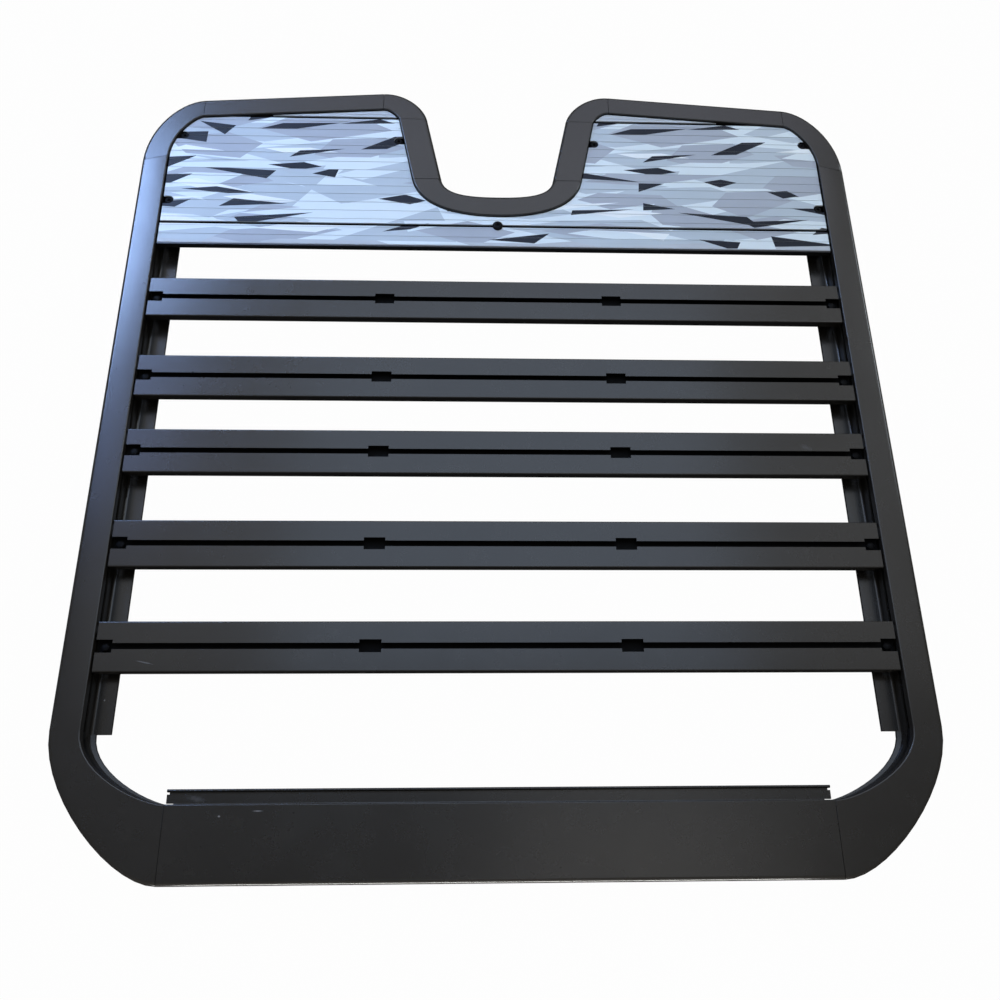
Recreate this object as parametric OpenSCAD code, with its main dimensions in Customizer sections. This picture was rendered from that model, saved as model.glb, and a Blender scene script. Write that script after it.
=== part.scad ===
// Flat platform roof rack: cast corners, extruded rails, five slotted slats and a ribbed rear deck
// X is across the vehicle, +Y is the rear, Z is up from the face that the rack rests on

/* [Overall] */
// Width over the side rails
rack_w = 1254; // [1180:1:1330]
// Length from the front edge to the two rear tips
rack_l = 1355; // [1330:1:1500]
// Height of the perimeter rails
rail_h = 45; // [43:1:55]

/* [Perimeter rails] */
// Top width of a side rail
rail_w = 44; // [36:1:52]
// Wall of the hollow rails
wall = 2.5; // [2:0.5:3.5]
// Thickness of the ledge along the foot of the rails
ledge_t = 5; // [4:0.5:6]
// Reach of the ledge from a side rail
side_ledge = 28; // [26:1:34]
// Radius of the outer top edge
nose_r = 6; // [4:0.5:9]
// Radius of the inner top edge
edge_r = 2; // [1:0.5:3]
// Mouth of the groove along the inner face
groove_open = 9; // [7:0.5:11]
// Inside height of that groove
groove_in = 15; // [13:0.5:17]
// Depth of that groove from the inner face
groove_deep = 10; // [8:0.5:14]
// Height of the middle of that groove
groove_z = 29; // [27:0.5:31]
// Radius between the inner face and the ledge
foot_r = 4; // [3:0.5:5]

/* [Front rail] */
// Top width of the front rail
plate_w = 103; // [90:1:120]
// Length of the front rail between the corner castings
front_rail_l = 914; // [860:1:960]
// Reach of the ledge from the front rail
front_ledge = 23; // [16:1:30]
// Reach of that ledge past each end of the front rail
ledge_end = 9.5; // [6:0.5:10]
// Width of the bead along the far edge of that ledge
bead_w = 4; // [3:0.5:5]
// Width of the groove beside the bead
bead_groove_w = 3; // [2:0.5:4]
// Length of the foot flange behind the front edge
front_foot = 16; // [10:1:24]

/* [Corner castings] */
// Wall of the castings
cast_wall = 4; // [3:0.5:6]
// Distance from the front edge to the front end of a side rail
front_corner_l = 201; // [180:1:230]
// Reach of the foot of a front corner where it meets the side rail
corner_foot = 7; // [5:1:9]
// Reach of that foot where the corner meets the front rail
corner_foot_front = 1; // [0.5:0.5:1.5]
// Distance from the rear tips to the rear end of a side rail
rear_corner_l = 165; // [155:1:190]
// Lean of the joint between a side rail and its rear corner, along Y
rear_joint_lean = 12; // [4:1:16]
// Distance from the middle of the rack to the outer end of a rear bar
rear_bar_out = 530; // [500:1:545]

/* [Rear bars and notch] */
// Top width of a rear bar
rear_bar_w = 38; // [34:1:42]
// Forward sweep of a rear bar from the middle outward
rear_sweep = 4.2; // [2:0.1:6]
// Distance from the middle of the rack to the inner end of a rear bar
rear_bar_in = 207; // [200:1:230]
// Depth of the notch from the rear tips
notch_depth = 232; // [222:1:245]
// Width of the notch between the front ends of its arms
notch_w = 198; // [180:1:210]
// Lean of the notch arms
arm_lean = 11.5; // [9:0.5:13]
// Top width of a notch arm
arm_w = 49.5; // [44:0.5:54]
// Top width of the notch bow at the middle
bow_w = 41; // [36:1:46]
// Distance from the rear tips to the rear end of a notch arm
arm_rear = 61; // [58:1:72]
// Distance from the rear tips to the front end of a notch arm
arm_front = 196; // [188:1:204]
// Reach of the ledge round the notch and the rear corners
deck_ledge = 26; // [24:1:30]
// Reach of the ledge inside the tight curve of a notch corner
tip_ledge = 14; // [10:1:18]

/* [Slats] */
// Depth of a slat along Y
slat_w = 74; // [66:1:84]
// Drop from the rail top to the slat top
slat_drop = 4; // [2:0.5:6]
// Wall of the slats
slat_wall = 2.5; // [2:0.5:3]
// Height of the lips along a slat
slat_lip = 14; // [10:1:18]
// Radius of the long top edges of slats and of the deck's front edge
lip_r = 2; // [1:0.5:2.5]
// Outside width of the channel below a slat
chan_w = 30; // [27:1:34]
// Width of the slot along a slat
slot_w = 9; // [7:0.5:11]
// Distance from the front edge of a slat to the middle of its slot
slot_y = 37.5; // [34:0.5:40]
// Height inside the slot
slot_in = 9; // [8:0.5:11]
// Length of the widened entries of the slot
entry_l = 32; // [24:1:40]
// Width of those entries
entry_w = 19; // [17:0.5:20]
// Distance from the middle of the rack to an entry
entry_x = 190.5; // [150:0.5:240]
// Length of the widened slot end
end_entry_l = 23; // [20:1:28]
// Gap between a slat and the rail
slat_gap = 2; // [1:0.5:3]
// Distance from the front of the rack to the front edge of slat 1
slat_1_y = 282.5; // [270:0.5:300]
// Gap between slat 5 and the deck
slat_5_gap = 72; // [40:0.5:90]
// Shift of slat 2 to the rear from even spacing
slat_2_shift = 8.9; // [-12:0.1:12]
// Shift of slat 3 to the rear from even spacing
slat_3_shift = 13.8; // [-14:0.1:14]
// Shift of slat 4 to the rear from even spacing
slat_4_shift = -0.9; // [-12:0.1:12]

/* [Deck] */
// Width of the front plank along Y
plank_w = 160.5; // [156:0.5:168]
// Top skin of a deck plank
skin = 3; // [2.5:0.5:4]
// Gap between the deck and the frame
deck_gap = 1.5; // [1:0.5:2]
// Width of the groove in a deck plank
deck_slot_w = 5.5; // [4.5:0.5:8]
// Distance from the front edge of the deck to the groove of the front plank
deck_slot_y = 42.5; // [40:0.5:48]
// Distance from the inner ends of the rear bars to the groove of the rear planks
rear_slot_in = 19; // [17:0.5:30]
// Part of the rear planks that is cut off along the rear bars
plank_over = 26; // [24:0.5:34]
// Depth of the fine ribs on the planks
rib_d = 0.6; // [0.4:0.1:1]
// Number of fine ribs on a plank
rib_n = 8; // [4:1:10]
// Width of a fine rib
rib_w = 1.2; // [0.8:0.1:1.6]
// Distance from the seam to the rear leg of a plank
plank_leg = 20; // [16:1:26]
// Width of the foot of a plank leg
plank_foot = 14; // [10:1:18]
// Height of the lips along a deck plank
deck_lip = 11; // [8:1:16]
// Height of the black trim along the front of the deck
trim_h = 11; // [8:1:16]
// Thickness of that trim
trim_t = 3; // [2:0.5:4]

/* [Bolts] */
// Shank diameter of all bolts
bolt_d = 8; // [6:0.5:9]
// Clearance of a bolt in its hole
bolt_gap = 0.3; // [0.2:0.1:0.5]
// Head diameter of the slat bolts
slat_head_d = 13; // [11:0.5:14]
// Head height of the slat bolts
slat_head_h = 5.5; // [4:0.5:7]
// Head diameter of the deck bolts
deck_head_d = 15; // [13:0.5:16]
// Head height of the deck bolts
deck_head_h = 4; // [3:0.5:6]
// Drop from the deck top to those heads
deck_head_drop = 1.5; // [0.5:0.5:4]
// Diameter of the sleeves below those heads
sleeve_d = 11; // [10:0.5:12]
// Clearance of those heads in the cut-outs of the deck
cutout_gap = 0.5; // [0.5:0.5:2]
// Head diameter of the middle deck bolt
mid_head_d = 18; // [14:0.5:20]
// Distance of the middle deck bolt from the notch bow
mid_bolt_in = 20.5; // [16:0.5:21]
// Distance of the side deck bolts from the side rails
side_bolt_in = 11.5; // [9:0.5:14]
// Distance from the rear tips to the side deck bolts
side_bolt_y = 246.5; // [230:0.5:260]
// Distance of the corner and arm deck bolts from the frame
edge_bolt_in = 10; // [8:0.5:12]
// Distance from the rear tips to the corner deck bolts
corner_bolt_y = 103.5; // [95:0.5:110]
// Distance from the rear tips to the arm deck bolts
arm_bolt_y = 108.5; // [95:0.5:115]
// Distance from the bolts of slat 1 back to the front pair of foot holes
foot_front_step = 22; // [14:0.5:60]
// Distance from the side deck bolts back to the rear pair of foot holes
foot_rear_step = 31.5; // [14:0.5:50]

/* [Hidden] */
SLATS = ["slat_1", "slat_2", "slat_3", "slat_4", "slat_5"];
$fn = 32;

// Extra length of every cutting tool past the face that it cuts
over = 1;
// Size of a block that cuts away one side of a joint
far = 400;
// Steps along the curves of a casting, and round its inner and outer top edges
steps = 14;
edge_steps = 3;
nose_steps = 5;

black = [0.12, 0.12, 0.14];
silver = [0.72, 0.79, 0.88];

side_x = rack_w / 2;
inner_x = side_x - rail_w;
front_y = -rack_l / 2;
sweep = tan(rear_sweep);
lean = tan(arm_lean);
deck_top = rail_h - slat_drop;
slat_h = deck_top - ledge_t;
slat_end = inner_x - slat_gap;
// Play between the lower edge of a slat and the radius at the foot of the rail
end_relief = foot_r + slat_gap;
hole_r = bolt_d / 2 + bolt_gap;
cutout_w = deck_head_d + 2 * cutout_gap;
// Slat bolts stand in the middle of the widened slot ends
slat_bolt_x = slat_end - end_entry_l / 2;
slot_floor = deck_top - slat_wall - slot_in;
// Gap along the seam of the two deck planks
seam_gap = 0.6;

// Curves are worked out from the outer edge of the rear bars at their inner end, called the tip
function meet(p, d, q, e) =
    p + d * ((q.x - p.x) * e.y - (q.y - p.y) * e.x) / (d.x * e.y - d.y * e.x);

// Cubic curve from p along d to q along e, with pulls a and b towards the corner of the two lines
function bend(p, d, q, e, a, b) =
    let (c = meet(p, d, q, e), u = p + a * (c - p), v = q + b * (c - q))
    [for (i = [0 : steps])
        let (t = i / steps, s = 1 - t)
        s * s * s * p + 3 * s * s * t * u + 3 * s * t * t * v + t * t * t * q];

function rev(l) = [for (i = [len(l) - 1 : -1 : 0]) l[i]];
function flip(l) = [for (p = l) [-p.x, p.y]];
function blend(a, b) = [for (i = [0 : steps]) a + (b - a) * i / steps];
function same(l, v) = [for (p = l) v];
function arc(c, r, a, b, n) =
    [for (i = [0 : n]) let (t = a + (b - a) * i / n) c + r * [cos(t), sin(t)]];

along_y = [0, 1];
along_x = [1, 0];
along_bar = [1, -sweep];
along_arm = [lean, 1];

function arm_out(d) = [notch_w / 2 + (arm_front - d) * lean, -d];
function arm_in(d) = arm_out(d) + [arm_w / cos(arm_lean), 0];
function bar_out(x) = [x, -sweep * (x - rear_bar_in)];
function bar_in(x) = bar_out(x) - [0, rear_bar_w / cos(rear_sweep)];

front_corner_outer = bend([side_x, front_corner_l], along_y, [front_rail_l / 2, 0], along_x, 0.42, 0.36);
front_corner_inner = bend([inner_x, front_corner_l], along_y,
    [front_rail_l / 2, plate_w], along_x, 0.58, 0.25);
rear_corner_outer = bend([side_x, -rear_corner_l], along_y, bar_out(rear_bar_out), along_bar, 0.57, 0.47);
rear_corner_inner = bend([inner_x, rear_joint_lean - rear_corner_l], along_y,
    bar_in(rear_bar_out), along_bar, 0.57, 0.27);
notch_corner_outer = bend(bar_out(rear_bar_in), along_bar, arm_out(arm_rear), along_arm, 0.53, 0.51);
notch_corner_inner = bend(bar_in(rear_bar_in), along_bar, arm_in(arm_rear), along_arm, 0.6, 0.13);
bow_outer = bend(arm_out(arm_front), along_arm, [0, -notch_depth], along_x, 0.88, 0.58);
bow_inner = bend(arm_in(arm_front), along_arm, [0, -notch_depth - bow_w], along_x, 0.71, 0.58);

// The tips rise a little past the rear bars, and the rack's length is measured over them
tip_y = rack_l / 2 - max([for (p = notch_corner_outer) p.y]);

// The middle bolt stands in the groove of the front plank, which sets the deck's front edge
mid_bolt_y = tip_y - notch_depth - bow_w - mid_bolt_in;
deck_y = mid_bolt_y - deck_slot_y;
seam_y = deck_y + plank_w + seam_gap;
rear_edge_y = tip_y - rear_bar_w + plank_over;

// Front edges of the slats
slat_5_y = deck_y - slat_5_gap - slat_w;
slat_step = (slat_5_y - front_y - slat_1_y) / 4;
slat_ys = [for (i = [0 : 4])
    front_y + slat_1_y + i * slat_step + [0, slat_2_shift, slat_3_shift, slat_4_shift, 0][i]];

// Inner edge of the frame round the right half of the deck, from the side to the middle
deck_edge = concat(rear_corner_inner, notch_corner_inner, bow_inner);

// The same edge moved g towards the deck
function inset(l, g) =
    [for (i = [0 : len(l) - 1])
        let (t = i == 0 ? along_y : i == len(l) - 1 ? -along_x : l[i + 1] - l[i - 1])
        l[i] + g * [-t.y, t.x] / norm(t)];

side_deck_bolt = [inner_x - side_bolt_in, -side_bolt_y];
corner_bolt = [lookup(-corner_bolt_y, [for (p = rear_corner_inner) [p.y, p.x]]) - edge_bolt_in,
    -corner_bolt_y];
arm_bolt = arm_in(arm_bolt_y) + [edge_bolt_in, 0];

module mirrored() { mirror([1, 0, 0]) children(); }
module from_front() { translate([0, front_y, 0]) children(); }
module from_tip() { translate([0, tip_y, 0]) children(); }

// Closed outline of a rail with its nose at the far side
module outline(w, h, nose, edge) {
    square([w, h - nose]);
    square([w - nose, h - edge]);
    translate([edge, 0]) square([w - nose - edge, h]);
    translate([w - nose, h - nose]) circle(nose);
    translate([edge, h - edge]) circle(edge);
}

// Rail without its hollow from its inner face at 0, with a ledge of reach l on the inner side
module rail_block(w, l) {
    outline(w, rail_h, nose_r, edge_r);
    translate([-l, 0]) square([l + wall, ledge_t]);
    difference() {
        translate([-foot_r, ledge_t]) square(foot_r + wall / 2);
        translate([-foot_r, ledge_t + foot_r]) circle(foot_r);
        translate([-foot_r, ledge_t + foot_r]) square(foot_r + wall);
    }
}

// Closed hollow of a rail of width w, and its groove
module rail_hollow(w, grooved) {
    difference() {
        translate([wall, wall]) outline(w - 2 * wall, rail_h - 2 * wall, nose_r - wall, edge_r / 2);
        if (grooved) translate([0, groove_z - groove_in / 2 - wall])
            square([groove_deep + wall, groove_in + 2 * wall]);
    }
    if (grooved) {
        translate([-over, groove_z - groove_open / 2]) square([wall + 2 * over, groove_open]);
        translate([wall, groove_z - groove_in / 2]) square([groove_deep - wall, groove_in]);
    }
}

module rail_profile(w, l, grooved = true) {
    difference() {
        rail_block(w, l);
        rail_hollow(w, grooved);
    }
}

// Front rail: a closed box behind, then a plate open below with a nose wall and its foot flange
module front_profile() {
    difference() {
        rail_block(plate_w, front_ledge);
        rail_hollow(rail_w, true);
        translate([rail_w, -over])
            outline(plate_w - rail_w - wall, rail_h - wall + over, nose_r - wall, wall / 2);
        translate([bead_w - front_ledge, ledge_t - bead_w / 2])
            square([bead_groove_w, bead_w]);
    }
    translate([bead_w / 2 - front_ledge, ledge_t]) circle(bead_w / 2);
    translate([plate_w - front_foot, 0]) square([front_foot, wall]);
}

module side_rail() {
    joint = atan(rear_joint_lean / rail_w);
    color(black) difference() {
        translate([inner_x, tip_y - rear_corner_l + far / 10, 0]) rotate([90, 0, 0])
            linear_extrude(tip_y - rear_corner_l + far / 10 - front_y - front_corner_l)
                rail_profile(rail_w, side_ledge);
        from_tip() translate([side_x, -rear_corner_l, -over]) rotate([0, 0, -joint])
            translate([-far / 2, 0, 0]) cube([far, far, rail_h + 2 * over]);
        for (y = slat_ys) translate([slat_bolt_x, y + slot_y, 0]) bolt_hole();
        translate([slat_bolt_x, slat_ys[0] + slot_y + foot_front_step, 0]) bolt_hole();
        from_tip() translate([slat_bolt_x, foot_rear_step - side_bolt_y, 0]) bolt_hole();
        from_tip() translate(side_deck_bolt) bolt_hole();
    }
}

// Hole through a ledge
module bolt_hole() {
    translate([0, 0, -over]) cylinder(r = hole_r, h = ledge_t + 2 * over);
}

// The ledge alone runs on past both ends, and its groove stops short of them
module front_rail() {
    half = front_rail_l / 2;
    color(black) from_front() difference() {
        translate([-half - ledge_end, plate_w, 0]) rotate([90, 0, -90]) mirror([0, 0, 1])
            linear_extrude(2 * half + 2 * ledge_end) front_profile();
        for (s = [-1, 1]) {
            translate([s * (half + far / 2) - far / 2, -over, -over])
                cube([far, over + plate_w + foot_r, rail_h + 2 * over]);
            translate([s * (half + ledge_end) - bead_groove_w,
                plate_w + front_ledge - bead_w - bead_groove_w, -over])
                cube([2 * bead_groove_w, bead_groove_w, rail_h]);
        }
    }
}

// Section of a casting between inner and outer edges w apart, open below, with a foot of reach f
function cast_section(w, f) = concat(
    [[-f, 0], [-f, ledge_t], [0, ledge_t]],
    arc([edge_r, rail_h - edge_r], edge_r, 180, 90, edge_steps),
    arc([w - nose_r, rail_h - nose_r], nose_r, 90, 0, nose_steps),
    [[w, 0], [w - cast_wall, 0], [w - cast_wall, rail_h - cast_wall],
     [cast_wall, rail_h - cast_wall], [cast_wall, 0]]);

// Triangles that close such a section; e, n and o are its first points on edge, nose and outer wall
function section_cap() =
    let (e = 3, n = e + edge_steps + 1, o = n + nose_steps + 1)
    concat([[0, 1, 2], [0, 2, o + 4], [2, e, o + 3], [2, o + 3, o + 4]],
        [for (i = [0 : edge_steps - 1]) [e + i, e + i + 1, o + 3]],
        [[n - 1, n, o + 2], [n - 1, o + 2, o + 3]],
        [for (i = [0 : nose_steps - 1]) [n + i, n + i + 1, o + 2]],
        [[o - 1, o, o + 1], [o - 1, o + 1, o + 2]]);

// Casting that follows an inner and an outer edge, clockwise round the rack, with a foot at each step
module casting(inner, outer, feet) {
    rings = [for (i = [0 : len(inner) - 1])
        let (d = outer[i] - inner[i], w = norm(d), e = d / w)
        [for (p = cast_section(w, feet[i])) [inner[i].x + e.x * p.x, inner[i].y + e.y * p.x, p.y]]];
    n = len(rings);
    m = len(rings[0]);
    last = (n - 1) * m;
    polyhedron(
        points = [for (r = rings) each r],
        faces = concat(
            [for (t = section_cap()) [t[2], t[1], t[0]]],
            [for (t = section_cap()) [last + t[0], last + t[1], last + t[2]]],
            [for (i = [0 : n - 2]) for (j = [0 : m - 1])
                let (k = (j + 1) % m, a = i * m, b = a + m)
                each [[a + j, a + k, b + k], [a + j, b + k, b + j]]]));
}

module front_corner() {
    color(black) from_front() casting(front_corner_inner, front_corner_outer,
        blend(corner_foot, corner_foot_front));
}

module rear_corner() {
    color(black) from_tip() difference() {
        casting(rev(rear_corner_inner), rev(rear_corner_outer), same(rear_corner_inner, deck_ledge));
        translate(corner_bolt) bolt_hole();
    }
}

module rear_bar() {
    start = rear_bar_in - far / 10;
    length = (rear_bar_out - start) / cos(rear_sweep) + far / 10;
    color(black) from_tip() difference() {
        translate(bar_in(start)) rotate([90, 0, 90 - rear_sweep])
            linear_extrude(length) rail_profile(rear_bar_w, deck_ledge);
        translate([rear_bar_in - far, -far, -over]) cube([far, 2 * far, rail_h + 2 * over]);
        translate([rear_bar_out, -far, -over]) cube([far, 2 * far, rail_h + 2 * over]);
    }
}

module notch_corner() {
    color(black) from_tip()
        casting(rev(notch_corner_inner), rev(notch_corner_outer),
            same(notch_corner_inner, tip_ledge));
}

module notch_side() {
    start = arm_front + far / 10;
    length = (start - arm_rear + far / 10) / cos(arm_lean);
    color(black) from_tip() difference() {
        translate(arm_in(start)) rotate([90, 0, 180 - arm_lean])
            linear_extrude(length) rail_profile(arm_w, deck_ledge, false);
        translate([0, -arm_front - far, -over]) cube([far, far, rail_h + 2 * over]);
        translate([0, -arm_rear, -over]) cube([far, far, rail_h + 2 * over]);
        translate(arm_bolt) bolt_hole();
    }
}

module notch_bow() {
    half_in = rev([for (i = [0 : steps - 1]) bow_inner[i]]);
    half_out = rev([for (i = [0 : steps - 1]) bow_outer[i]]);
    inner = concat(rev(flip(half_in)), [bow_inner[steps]], half_in);
    outer = concat(rev(flip(half_out)), [bow_outer[steps]], half_out);
    color(black) difference() {
        from_tip() casting(inner, outer, same(inner, deck_ledge));
        translate([0, mid_bolt_y, 0]) bolt_hole();
    }
}

// Channel with a slotted top between z = 0 and the height of a slat, centred on y
module channel(y, mouth) {
    inside = chan_w - 2 * slat_wall;
    translate([y, 0]) difference() {
        translate([-chan_w / 2, 0]) square([chan_w, slat_h]);
        translate([-mouth / 2, slat_h - slat_wall - over]) square([mouth, slat_wall + 2 * over]);
        translate([-inside / 2, slot_floor - ledge_t]) square([inside, slot_in]);
        translate([-inside / 2, slat_wall])
            square([inside, slot_floor - ledge_t - 2 * slat_wall]);
    }
}

// What the radius of a long top edge takes off the corner at 0
module lip_waste() {
    difference() {
        translate([-over, -lip_r]) square([lip_r + over, lip_r + over]);
        translate([lip_r, -lip_r]) circle(lip_r);
    }
}

module slat_profile() {
    difference() {
        union() {
            translate([0, slat_h - slat_wall]) square([slat_w, slat_wall]);
            for (y = [0, slat_w - slat_wall])
                translate([y, slat_h - slat_lip]) square([slat_wall, slat_lip]);
        }
        translate([slot_y - chan_w / 2, 0]) square([chan_w, slat_h + over]);
        translate([0, slat_h]) lip_waste();
        translate([slat_w, slat_h]) mirrored() lip_waste();
    }
    channel(slot_y, slot_w);
}

module slat(i) {
    color(black) translate([0, slat_ys[i], ledge_t]) difference() {
        translate([-slat_end, 0, 0]) rotate([90, 0, 90]) linear_extrude(2 * slat_end) slat_profile();
        for (s = [-1, 1]) {
            translate([s * entry_x - entry_l / 2, slot_y - entry_w / 2, slat_h - slat_wall - over])
                cube([entry_l, entry_w, slat_wall + 2 * over]);
            translate([s * (slat_end + over / 2 - end_entry_l / 2) - (end_entry_l + over) / 2,
                slot_y - entry_w / 2, slat_h - slat_wall - over])
                cube([end_entry_l + over, entry_w, slat_wall + 2 * over]);
            translate([s * slat_end - end_relief, -over, -over])
                cube([2 * end_relief, slat_w + 2 * over, end_relief + over]);
            translate([s * slat_bolt_x, slot_y, -over]) cylinder(r = hole_r, h = slot_floor);
        }
    }
}

module slat_bolts() {
    color(black) for (y = slat_ys) translate([slat_bolt_x, y + slot_y, 0]) {
        translate([0, 0, bolt_gap]) cylinder(d = bolt_d, h = slot_floor - bolt_gap);
        translate([0, 0, slot_floor]) cylinder(d = slat_head_d, h = slat_head_h, $fn = 6);
    }
}

// Deck plank of width w from its outer edge at 0 to the seam, with its groove at g, 0 at its foot
module plank_profile(w, g) {
    difference() {
        union() {
            difference() {
                translate([0, slat_h - skin]) square([w, skin]);
                translate([g - chan_w / 2, 0]) square([chan_w, slat_h + over]);
            }
            for (y = [0, w - skin]) translate([y, slat_h - deck_lip]) square([skin, deck_lip]);
            for (y = [w / 2, w - plank_leg]) {
                translate([y, 0]) square([slat_wall, slat_h - skin]);
                translate([y - plank_foot / 2, 0]) square([plank_foot, slat_wall]);
            }
            channel(g, deck_slot_w);
        }
        translate([0, slat_h]) lip_waste();
        for (i = [1 : rib_n]) translate([i * w / (rib_n + 1), slat_h - rib_d]) square([rib_w, rib_d + over]);
    }
}

module plank(w, g) {
    translate([-slat_end, 0, ledge_t]) rotate([90, 0, 90])
        linear_extrude(2 * slat_end) plank_profile(w, g);
}

// Everything inside the frame's inner edge, less the deck gap
module deck_area() {
    half = inset(deck_edge, deck_gap);
    from_tip() linear_extrude(rail_h) polygon(concat(
        [[inner_x - deck_gap, -far]], half, rev(flip(half)), [[deck_gap - inner_x, -far]]));
}

// Cut-out for a bolt, open towards the frame in the direction s along X
module cutout(p, s) {
    from_tip() translate(p) {
        cylinder(d = cutout_w, h = rail_h + over);
        translate([s > 0 ? 0 : -far / 10, -cutout_w / 2, 0]) cube([far / 10, cutout_w, rail_h + over]);
    }
}

module deck_front_plank() {
    color(silver) difference() {
        intersection() {
            translate([0, deck_y, 0]) plank(plank_w, deck_slot_y);
            deck_area();
        }
        cutout(side_deck_bolt, 1);
        mirrored() cutout(side_deck_bolt, 1);
        translate([0, mid_bolt_y, 0]) cylinder(r = hole_r, h = rail_h);
    }
}

module deck_rear_plank() {
    color(silver) difference() {
        intersection() {
            translate([0, rear_edge_y, 0]) mirror([0, 1, 0])
                plank(rear_edge_y - seam_y, plank_over + rear_slot_in);
            deck_area();
            translate([0, -rack_l, 0]) cube([rack_w, 2 * rack_l, rail_h]);
        }
        cutout(corner_bolt, 1);
        cutout(arm_bolt, -1);
    }
}

module deck_trim() {
    color(black) translate([-slat_end, deck_y - trim_t, deck_top - trim_h])
        cube([2 * slat_end, trim_t, trim_h]);
}

// Deck bolt: shank in the ledge, sleeve up to the deck and a round head below the deck top
module deck_bolt(p) {
    head_z = deck_top - deck_head_drop - deck_head_h;
    translate([p.x, p.y, 0]) {
        translate([0, 0, bolt_gap]) cylinder(d = bolt_d, h = ledge_t);
        translate([0, 0, ledge_t]) cylinder(d = sleeve_d, h = head_z - ledge_t);
        translate([0, 0, head_z]) cylinder(d = deck_head_d, h = deck_head_h);
    }
}

module deck_bolts() {
    color(black) from_tip() {
        deck_bolt(side_deck_bolt);
        deck_bolt(corner_bolt);
        deck_bolt(arm_bolt);
    }
}

module deck_middle_bolt() {
    color(black) translate([0, mid_bolt_y, 0]) {
        translate([0, 0, bolt_gap]) cylinder(d = bolt_d, h = deck_top - bolt_gap);
        translate([0, 0, deck_top]) cylinder(d = mid_head_d, h = slat_drop - bolt_gap);
    }
}

side_rail();  // side_rail_right
mirrored() side_rail();  // side_rail_left
front_rail();
front_corner();  // front_corner_right
mirrored() front_corner();  // front_corner_left
rear_corner();  // rear_corner_right
mirrored() rear_corner();  // rear_corner_left
rear_bar();  // rear_bar_right
mirrored() rear_bar();  // rear_bar_left
notch_corner();  // notch_corner_right
mirrored() notch_corner();  // notch_corner_left
notch_side();  // notch_side_right
mirrored() notch_side();  // notch_side_left
notch_bow();
slat(0);  // slat_1
slat(1);  // slat_2
slat(2);  // slat_3
slat(3);  // slat_4
slat(4);  // slat_5
deck_front_plank();
deck_rear_plank();  // deck_rear_plank_right
mirrored() deck_rear_plank();  // deck_rear_plank_left
deck_trim();
slat_bolts();  // slat_bolts_right
mirrored() slat_bolts();  // slat_bolts_left
deck_bolts();  // deck_bolts_right
mirrored() deck_bolts();  // deck_bolts_left
deck_middle_bolt();
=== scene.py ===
import math
import random

import bmesh
import bpy
from mathutils import Euler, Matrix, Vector


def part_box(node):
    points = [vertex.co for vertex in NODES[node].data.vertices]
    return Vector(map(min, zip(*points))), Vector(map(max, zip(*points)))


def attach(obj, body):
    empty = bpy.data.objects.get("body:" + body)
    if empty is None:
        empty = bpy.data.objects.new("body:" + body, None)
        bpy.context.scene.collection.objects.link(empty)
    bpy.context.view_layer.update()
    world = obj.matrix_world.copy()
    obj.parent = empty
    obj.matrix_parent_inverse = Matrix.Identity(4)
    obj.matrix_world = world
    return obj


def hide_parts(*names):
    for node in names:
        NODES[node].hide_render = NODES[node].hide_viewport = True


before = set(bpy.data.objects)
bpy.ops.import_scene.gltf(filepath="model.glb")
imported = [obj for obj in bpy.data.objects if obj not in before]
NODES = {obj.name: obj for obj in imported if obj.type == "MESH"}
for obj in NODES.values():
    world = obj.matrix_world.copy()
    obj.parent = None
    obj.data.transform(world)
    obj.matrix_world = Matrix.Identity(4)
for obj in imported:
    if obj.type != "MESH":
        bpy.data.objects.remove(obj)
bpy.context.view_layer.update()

MM = 0.001
FRONT_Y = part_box("front_rail")[0].y
DECK_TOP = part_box("deck_front_plank")[1].z
TIP_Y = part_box("notch_corner_left")[1].y
SIDE_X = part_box("side_rail_right")[1].x
RAIL_W = 44 * MM
RAIL_X = SIDE_X - RAIL_W / 2
# Joints of the frame: distance from the middle of the rack, and the front end of a side rail
PLATE_JOINT_X, BAR_JOINT_X, TIP_JOINT_X = 457 * MM, 530 * MM, 207 * MM
FRONT_JOINT_Y = FRONT_Y + 201 * MM
# Middle of a notch arm at its rear and at its front end
ARM_X = (151.5 * MM, 124.5 * MM)
# How far the joint between a side rail and its rear corner leans over the rail's width
LEAN = 12 * MM
# Fall of the rails' arched top over the square of the distance from its middle
CROWN = 0.8
# Vertices closer than this to a plane lie in it, and closer than this to each other are one
NEAR, WELD = 2e-5, 2e-6


# Materials

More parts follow.
